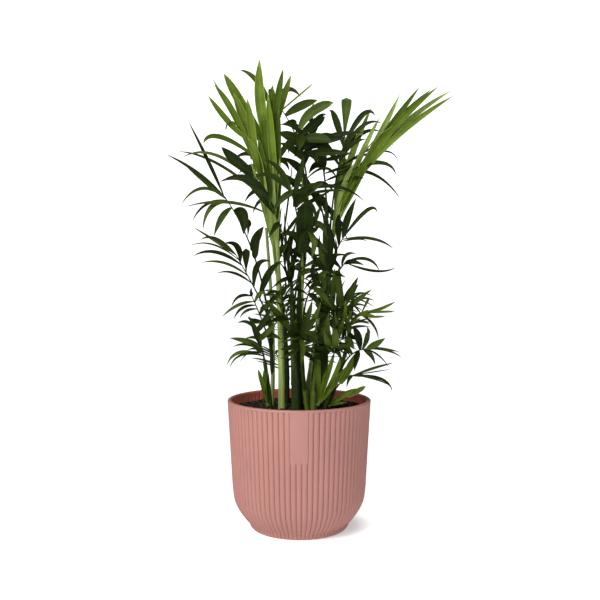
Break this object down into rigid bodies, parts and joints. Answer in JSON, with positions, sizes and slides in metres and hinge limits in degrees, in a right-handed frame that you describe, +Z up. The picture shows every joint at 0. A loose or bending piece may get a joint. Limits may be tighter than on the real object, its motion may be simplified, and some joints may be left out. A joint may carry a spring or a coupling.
{
  "type": "potted parlour palm",
  "caption": "Bushy young parlour palm: slender canes with arching feathered fronds, in a round reeded plastic pot with a smooth lip and a small foot",
  "frame": {"origin": "centre of the flat underside of the pot, on the surface it stands on", "axes": "+Z up along the pot's axis and the canes; -Y towards the viewer of the picture, out of the pot's plain panel; +X to the right"},
  "size_m": [0.3536, 0.3029, 0.5942],
  "materials": {
    "pot": "dusty pink matt plastic with moulded ribs",
    "soil": "dark crumbly potting soil",
    "stalk": "pale green, softly ribbed leaf stalk",
    "sheath": "dark green ringed cane",
    "young_leaf": "fresh light green young leaflets",
    "mid_leaf": "mid green leaflets",
    "dark_leaf": "dark green mature leaflets with a soft sheen"
  },
  "bodies": {
    "root": {"pot": "pot", "soil": "soil", "cane_left_thin": "stalk", "cane_main_stalk": "stalk", "cane_front_dark": "sheath", "cane_front_light": "stalk", "cane_front_broad": "stalk", "cane_right_lean": "stalk", "cane_left_shoot": "sheath", "cane_centre": "sheath", "cane_right_tall": "sheath", "cane_spear": "stalk", "cane_back_left": "sheath", "cane_back_right": "sheath", "cane_back": "sheath", "frond_young_top": "young_leaf", "frond_young_left": "young_leaf", "frond_behind_top": "dark_leaf", "frond_left_high": "dark_leaf", "frond_left_mid": "dark_leaf", "frond_left_small": "dark_leaf", "frond_left_low": "dark_leaf", "frond_centre_wide": "dark_leaf", "frond_centre_left": "mid_leaf", "frond_crown_front": "dark_leaf", "frond_crown_back": "dark_leaf", "frond_crown_left": "dark_leaf", "frond_right_high": "dark_leaf", "frond_spear": "young_leaf", "frond_right_mid": "dark_leaf", "frond_right_arch": "dark_leaf", "frond_right_small": "mid_leaf", "frond_right_light": "young_leaf", "frond_right_low": "dark_leaf", "frond_right_lowest": "dark_leaf", "frond_front_top": "dark_leaf", "frond_front_high": "dark_leaf", "frond_front_mid": "dark_leaf", "frond_front_left": "mid_leaf", "frond_front_right": "dark_leaf", "frond_front_low": "dark_leaf", "frond_front_base": "dark_leaf", "frond_dense_right": "dark_leaf", "frond_dense_low": "dark_leaf", "frond_shoot_spikes": "young_leaf", "frond_low_broad": "young_leaf", "frond_low_right": "young_leaf", "frond_back_high": "dark_leaf", "frond_back_young": "young_leaf", "frond_back_left": "dark_leaf", "frond_back_centre": "dark_leaf", "frond_back_right": "dark_leaf", "frond_back_low_left": "mid_leaf", "frond_back_low": "dark_leaf", "frond_back_low_right": "dark_leaf", "frond_back_base": "mid_leaf"}
  },
  "joints": []
}
